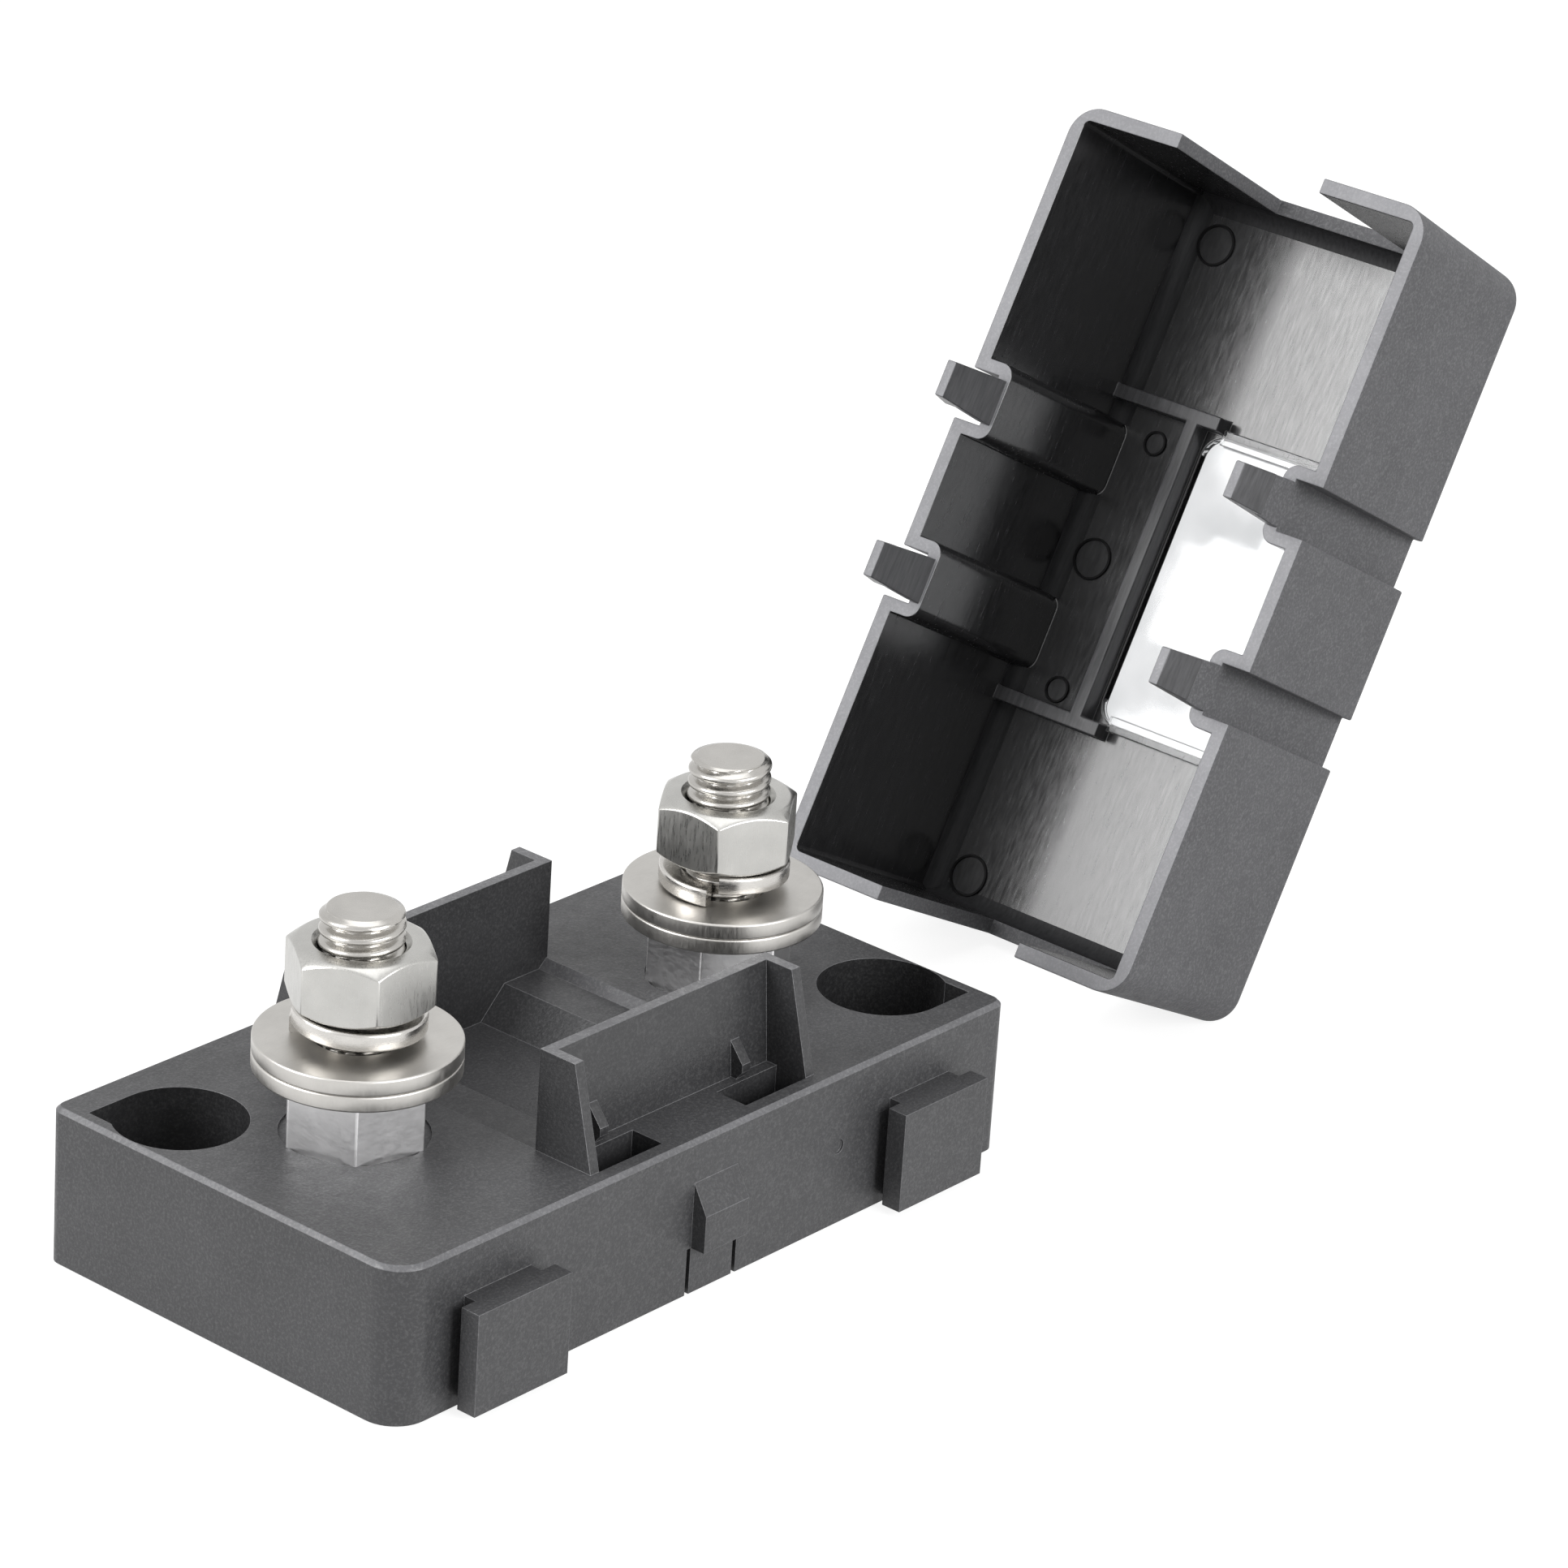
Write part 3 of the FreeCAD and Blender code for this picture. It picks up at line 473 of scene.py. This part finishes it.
def hexagon_rings(x, y, low, high, turn):
    """Hexagon of a stud, bevelled under the washer."""
    def section(angle, reach):
        return [
            (reach, low),
            (reach, high - fall(reach) - HEX_EDGE),
            (reach - HEX_EDGE, high - fall(reach - HEX_EDGE)),
            (FACE_RADIUS, high)]

    return rings_about(x, y, hex_columns(turn), section)


def thread_radius(angle, level, high):
    """Radius of the thread at an angle and a level, drawn in towards the tip at the high end."""
    phase = 2 * math.pi * (level / THREAD_PITCH - angle / (2 * math.pi))
    root = (0.5 - 0.5 * math.cos(phase)) ** CREST_SHAPE
    return min(THREAD_RADIUS - THREAD_DEPTH * root, TIP_RADIUS + TIP_EDGE + (high - level) * TIP_SLOPE)


def thread_rings(x, y, low, high):
    """Threaded rod with rounded crests that ends in a flat tip."""
    count = int((high - low) / THREAD_PITCH * ROWS_PER_PITCH)
    levels = [low + (high - TIP_EDGE - low) * i / (count - 1) for i in range(count)]
    tip = []
    for k in (1, 2, 3):
        swing = math.radians(30 * k)
        far = TIP_RADIUS - TIP_EDGE + TIP_EDGE * math.cos(swing)
        tip.append((far, high - TIP_EDGE + TIP_EDGE * math.sin(swing)))

    def section(angle, reach):
        return [(thread_radius(angle, level, high), level) for level in levels] + tip

    return rings_about(x, y, circle_columns(96), section)


def rounded_section(inner, outer, low, high, round_outer, steps=4):
    """Rounded rectangle as (distance from the axis, level); its inner corners are half as round."""
    round_inner = round_outer / 2
    corners = ((outer, high, round_outer, 0), (inner, high, round_inner, 90),
               (inner, low, round_inner, 180), (outer, low, round_outer, 270))
    section = []
    for far, level, bend, start in corners:
        middle_r = far - bend if start in (0, 270) else far + bend
        middle_z = level - bend if start in (0, 90) else level + bend
        for k in range(steps + 1):
            swing = math.radians(start + 90.0 * k / steps)
            section.append((middle_r + bend * math.cos(swing), middle_z + bend * math.sin(swing)))
    return section


def swept(x, y, section, angles, rises):
    """Section carried round the axis, lifted at each step."""
    rings = []
    for angle, rise in zip(angles, rises):
        rings.append([(x + far * math.cos(angle), y + far * math.sin(angle), level + rise)
                      for far, level in section])
    return rings


def steel_piece(node, shells, sharp, skins, body=BODY):
    """Finished steel piece with flat facets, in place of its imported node."""
    mesh = mesh_of_rings(node, shells, sharp)
    made = new_piece(node + "_finished", mesh, skins, body, node)
    weigh_normals(made, keep_sharp=True)
    bake(made)


def make_washer(kind, side, steps=160):
    node = kind + "_" + side
    x, y, low, high = centre_of(node)
    outer = (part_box(node)[1][0] / MM) - x
    section = rounded_section(WASHER_BORE, outer, low, high, WASHER_ROUND)
    angles = [2 * math.pi * k / steps for k in range(steps)]
    rings = swept(x, y, section, angles, [0.0] * steps)
    steel_piece(node, [(rings, True, 0)], sharp=40, skins=[WASHER_STEEL])


def make_spring(side, steps=120):
    """Split spring washer, a left-handed coil between the upper washer and the nut."""
    x, y = centre_of("stud_" + side)[:2]
    low, high = centre_of("upper_washer_" + side)[3], centre_of("nut_" + side)[2]
    section = rounded_section(SPRING_INNER, SPRING_OUTER, low, low + SPRING_HEIGHT, SPRING_ROUND)
    start = math.radians(SPRING_GAP_TURN[side])
    angles = [start - 2 * math.pi * SPRING_TURNS * k / steps for k in range(steps + 1)]
    rises = [(high - low - SPRING_HEIGHT) * k / steps for k in range(steps + 1)]
    rings = swept(x, y, section, angles, rises)
    steel_piece("spring_washer_" + side, [(rings, False, 0)], sharp=40, skins=[SPRING_STEEL])


def make_stud(side):
    node = "stud_" + side
    x, y, low, high = centre_of(node)
    seat = centre_of("lower_washer_" + side)[2]
    hexagon = hexagon_rings(x, y, low, seat, STUD_TURN[side])
    thread = thread_rings(x, y, seat - THREAD_OVERLAP, high)
    steel_piece(node, [(hexagon, False, 1), (thread, False, 0)], sharp=35, skins=[THREAD_STEEL, HEX_STEEL])


def make_nut(side):
    node = "nut_" + side
    x, y = centre_of("stud_" + side)[:2]
    low, high = centre_of(node)[2:]
    rings = nut_rings(x, y, low, high, NUT_TURN[side])
    steel_piece(node, [(rings, True, 0)], sharp=30, skins=[NUT_STEEL], body=node)


# Moulded parts.
def clean_copy(node, join=0.002 * MM, flat=math.radians(0.5)):
    """Copy of a node's mesh with its split corners joined and no lines across its flat faces."""
    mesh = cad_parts[node].data.copy()
    mesh.materials.clear()
    work = bmesh.new()
    work.from_mesh(mesh)
    bmesh.ops.remove_doubles(work, verts=work.verts, dist=join)
    bmesh.ops.dissolve_limit(work, angle_limit=flat, verts=work.verts, edges=work.edges)
    work.to_mesh(mesh)
    work.free()
    return mesh


def soften(made, width, skin=-1, sharp=math.radians(25.0)):
    """Round the sharp edges of a piece, for good; with a skin, the rounded edges take it."""
    work = bmesh.new()
    work.from_mesh(made.data)
    layer = work.edges.layers.float.new("bevel_weight_edge")
    for edge in work.edges:
        if len(edge.link_faces) == 2 and edge.calc_face_angle(0.0) > sharp:
            edge[layer] = 1.0
    work.to_mesh(made.data)
    work.free()
    for face in made.data.polygons:
        face.use_smooth = True
    bevel = made.modifiers.new("edges", "BEVEL")
    bevel.limit_method = "WEIGHT"
    bevel.width = width * MM
    bevel.segments = 2
    bevel.material = skin
    weigh_normals(made, keep_sharp=False)
    bake(made)


def housing_skin(face, top):
    """Skin of one face of the base."""
    place, normal = face.center / MM, face.normal
    # Upward faces at the very top take the painted highlight.
    if normal.z > SQUARELY and place.z > top - BAND:
        return PAINTED_TOP_HIGHLIGHT
    # The deck's sloping chamfer takes the painted edge highlight.
    if SLOPING[0] < normal.z < SLOPING[1] and DECK - DECK_CHAMFER < place.z < DECK:
        return PAINTED_EDGE_HIGHLIGHT
    if place.z > DECK + CLOSE:
        return WALLS
    in_pocket = abs(place.x) < WALL_HALF_LENGTH and BAY_HALF_WIDTH < abs(place.y) < POCKET_REACH
    if in_pocket and place.z < DECK - CLOSE:
        return WALLS
    # Faces inside the mounting recesses take painted shade.
    end = math.copysign(1.0, place.x)
    in_painted_shade_recess = math.hypot(place.x - end * MOUNT_X, place.y + end * MOUNT_Y) < MOUNT_REACH
    return PAINTED_RECESS_SHADE if in_painted_shade_recess and BAND < place.z < DECK - BAND else BLOCK


def make_housing():
    mesh = clean_copy("base")
    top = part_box("base")[1][2] / MM
    made = new_piece("housing", mesh, BASE_SKINS, BODY, "base")
    for face in mesh.polygons:
        face.material_index = housing_skin(face, top)
    # The rounded edges take the painted edge highlight as well.
    soften(made, BASE_SOFT, PAINTED_EDGE_HIGHLIGHT)


def make_foot_rings():
    """Shallow floor of the round relief about each stud's hexagon."""
    low, high = DECK - FOOT_BOTTOM, DECK - FOOT_DEPTH
    section = ((FOOT_BORE, low), (FOOT_RING, low), (FOOT_RING, high), (FOOT_BORE, high))
    shells = []
    for side in SIDES:
        x, y = centre_of("stud_" + side)[:2]
        shells.append((turned(x, y, section, count=64), True, 0))
    mesh = mesh_of_rings("foot_rings", shells, sharp=30)
    new_piece("foot_rings", mesh, [BASE_SKINS[BLOCK]], BODY)


def cover_frame():
    """Turn and place that carry the cover from its own frame to where it stands."""
    return Matrix.Translation(COVER_PLACE) @ Matrix.Rotation(COVER_LEAN, 4, "Y")


def cover_skin(face, back):
    """Skin of one face of the cover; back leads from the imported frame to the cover's own."""
    place = back @ face.center / MM
    normal = back.to_3x3() @ face.normal
    # The rim's flat face takes the painted highlight.
    if normal.z < -SQUARELY and place.z < CLOSE:
        return PAINTED_RIM_HIGHLIGHT
    if place.z < -CLOSE:
        return HOOKS
    across, along = abs(place.y), abs(place.x)
    in_groove = abs(along - HOOK_X) < GROOVE_WIDTH / 2 + CLOSE
    shell_y = JOG_INNER + CLOSE if in_groove else HALF_WIDTH - COVER_WALL * OUTER_SHARE - SIDE_LEAN * place.z
    shell_x = HALF_LENGTH - COVER_WALL * OUTER_SHARE - END_LEAN * place.z
    hollow = across < shell_y and along < shell_x
    if not hollow or place.z > PLATE_INNER + CLOSE:
        return OUTSIDE
    if place.z < PLATE_INNER - RIB_HEIGHT - BAND:
        return INNER_WALLS
    return PLATE if place.z > PLATE_INNER - BAND else HOOKS


def make_lid():
    mesh = clean_copy("cover")
    back = cover_frame().inverted()
    made = new_piece("lid", mesh, COVER_SKINS, BODY, "cover")
    for face in mesh.polygons:
        face.material_index = cover_skin(face, back)
    soften(made, COVER_SOFT)


def cover_extra(name, shells, sharp, skins):
    """Small form added to the cover, given in the cover's own frame."""
    mesh = mesh_of_rings(name, shells, sharp)
    mesh.transform(cover_frame())
    new_piece(name, mesh, skins, BODY)


def make_pin_marks():
    """Ridged discs that the mould's ejector pins leave on the inside of the plate."""
    shells = []
    for x, y, radius in PIN_MARKS:
        ridge = ((radius - PIN_RIDGE, PIN_SINK), (radius - 0.8 * PIN_RIDGE, PIN_PROUD),
                 (radius - 0.2 * PIN_RIDGE, PIN_PROUD), (radius, PIN_SINK))
        inside = radius - 0.5 * PIN_RIDGE
        disc = ((PIN_MIDDLE, PIN_FLOOR), (inside, PIN_FLOOR), (inside, PIN_SINK))
        for rows, loop, skin in ((ridge, True, 0), (disc, False, 1)):
            section = [(far, PLATE_INNER - proud) for far, proud in rows]
            shells.append((turned(x, y, section, count=48), loop, skin))
    cover_extra("pin_marks", shells, sharp=40, skins=[PIN_SKIN, DISC_SKIN])


def fillet_run(along_end, sign, half, lean, start, stop, steps=8):
    """Concave strip between the plate and an end wall, or else a side wall, from start to stop along it."""
    wall = half - COVER_WALL - lean * PLATE_INNER
    section = [(wall + FILLET_SINK, -FILLET_SINK), (wall - PLATE_FILLET, -FILLET_SINK)]
    for k in range(steps + 1):
        swing = math.radians(90.0 * k / steps)
        drop = PLATE_FILLET * (1 - math.cos(swing))
        section.append((wall - PLATE_FILLET * (1 - math.sin(swing)) + lean * drop, drop))
    section.append((wall + FILLET_SINK, PLATE_FILLET))
    rings = []
    for run in (start, stop):
        points = [(sign * far, run, PLATE_INNER - drop) for far, drop in section]
        rings.append(points if along_end else [(y, x, z) for x, y, z in points])
    return rings, False, 0


def make_plate_fillets():
    """Rounded inner corners of the cover's plate, along its end walls and side walls."""
    inner_x = HALF_LENGTH - COVER_WALL - END_LEAN * PLATE_INNER
    inner_y = HALF_WIDTH - COVER_WALL - SIDE_LEAN * PLATE_INNER
    front = ((-inner_x, -WINDOW_REACH), (WINDOW_REACH, inner_x))
    rear = ((-inner_x, -JOG_FAR), (-JOG_NEAR, JOG_NEAR), (JOG_FAR, inner_x))
    shells = []
    for sign, stretches in ((-1, front), (1, rear)):
        shells.append(fillet_run(True, sign, HALF_LENGTH, END_LEAN, -inner_y, inner_y))
        for start, stop in stretches:
            shells.append(fillet_run(False, sign, HALF_WIDTH, SIDE_LEAN, start, stop))
    cover_extra("plate_fillets", shells, sharp=30, skins=[CORNER_SKIN])


def make_pane():
    made = new_piece("pane", clean_copy("window"), [CLEAR], BODY, "window")
    soften(made, PANE_SOFT)


# Camera, light and floor.
def aim_camera():
    """The photograph's viewpoint, solved from outlines in it."""
    camera = bpy.data.cameras.new("photo_camera")
    camera.sensor_width = CAMERA_SENSOR
    camera.lens = CAMERA_LENS
    camera.clip_start = 0.01
    camera.clip_end = 20.0
    made = bpy.data.objects.new("photo_camera", camera)
    scene.collection.objects.link(made)
    bearing = Matrix.Rotation(math.radians(90.0 + CAMERA_BEARING), 4, "Z")
    tilt = Matrix.Rotation(math.radians(90.0 - CAMERA_RISE), 4, "X")
    roll = Matrix.Rotation(math.radians(CAMERA_ROLL), 4, "Z")
    made.matrix_world = Matrix.Translation(CAMERA_PLACE) @ bearing @ tilt @ roll
    scene.camera = made


def area_light(name, place, target, width, height, power, up=(0.0, 0.0, 1.0)):
    """Rectangular softbox that faces a target, its height along the given direction."""
    lamp = bpy.data.lights.new(name, "AREA")
    lamp.shape = "RECTANGLE"
    lamp.size = width
    lamp.size_y = height
    lamp.energy = power
    made = bpy.data.objects.new(name, lamp)
    away = (Vector(place) - Vector(target)).normalized()
    across = Vector(up).cross(away).normalized()
    turn = Matrix((across, away.cross(across), away)).transposed().to_4x4()
    made.matrix_world = Matrix.Translation(place) @ turn
    scene.collection.objects.link(made)


def seen_directly(nodes, links):
    """One for rays from the camera, from gloss and through clear parts, otherwise zero."""
    path = nodes.new("ShaderNodeLightPath")
    total = path.outputs["Is Camera Ray"]
    for ray in ("Is Glossy Ray", "Is Transmission Ray"):
        step = nodes.new("ShaderNodeMath")
        step.operation = "MAXIMUM"
        links.new(total, step.inputs[0])
        links.new(path.outputs[ray], step.inputs[1])
        total = step.outputs["Value"]
    return total


def background(nodes, strength):
    """White world background of a given strength."""
    made = nodes.new("ShaderNodeBackground")
    made.inputs["Color"].default_value = (1.0, 1.0, 1.0, 1.0)
    made.inputs["Strength"].default_value = strength
    return made.outputs["Background"]


def surround():
    """World that is white where it is seen and dimmer where it only lights."""
    world = bpy.data.worlds.new("studio")
    scene.world = world
    world.use_nodes = True
    nodes, links = world.node_tree.nodes, world.node_tree.links
    nodes.clear()
    out = nodes.new("ShaderNodeOutputWorld")
    mix = nodes.new("ShaderNodeMixShader")
    links.new(seen_directly(nodes, links), mix.inputs["Fac"])
    links.new(background(nodes, AMBIENT), mix.inputs[1])
    links.new(background(nodes, 1.0), mix.inputs[2])
    links.new(mix.outputs["Shader"], out.inputs["Surface"])


def softboxes():
    """One softbox overhead, one behind the left end and a fill in front."""
    area_light("overhead", place=(0.02, 0.02, 0.42), target=LIGHT_TARGET, width=0.30, height=0.30,
               power=0.36, up=(0.0, 1.0, 0.0))
    area_light("side", place=(-0.27, 0.141, 0.193), target=(0.06, 0.0, 0.022), width=0.18, height=0.26,
               power=1.15, up=(0.0, 0.32, 1.0))
    area_light("fill", place=(0.0, -0.42, 0.20), target=LIGHT_TARGET, width=0.30, height=0.25,
               power=1.75)


def floor_paper():
    """Pale matt paper that glows where it is seen."""
    skin, nodes, links, shader = material("floor_paper")
    shader.inputs["Base Color"].default_value = (FLOOR_GREY, FLOOR_GREY, FLOOR_GREY, 1.0)
    shader.inputs["Roughness"].default_value = 0.9
    shader.inputs["Specular IOR Level"].default_value = 0.0
    glow = nodes.new("ShaderNodeEmission")
    strength = nodes.new("ShaderNodeMath")
    strength.operation = "MULTIPLY"
    strength.inputs[1].default_value = FLOOR_GLOW
    links.new(seen_directly(nodes, links), strength.inputs[0])
    links.new(strength.outputs["Value"], glow.inputs["Strength"])
    both = nodes.new("ShaderNodeAddShader")
    links.new(shader.outputs["BSDF"], both.inputs[0])
    links.new(glow.outputs["Emission"], both.inputs[1])
    links.new(both.outputs["Shader"], nodes["Material Output"].inputs["Surface"])
    return skin


def floor():
    """Pale floor, seen as white away from the object's shadow."""
    corners = ((-1, -1), (1, -1), (1, 1), (-1, 1))
    points = [(FLOOR_HALF * x, FLOOR_HALF * y, FLOOR_LEVEL) for x, y in corners]
    mesh = bpy.data.meshes.new("floor")
    mesh.from_pydata(points, [], [(0, 1, 2, 3)])
    made = bpy.data.objects.new("floor", mesh)
    scene.collection.objects.link(made)
    mesh.materials.append(floor_paper())


make_housing()
make_lid()
make_pin_marks()
make_plate_fillets()
make_pane()
for side in SIDES:
    make_stud(side)
    make_washer("lower_washer", side)
    make_washer("upper_washer", side)
    make_spring(side)
    make_nut(side)
make_foot_rings()
aim_camera()
surround()
softboxes()
floor()
scene.view_settings.view_transform = "Standard"
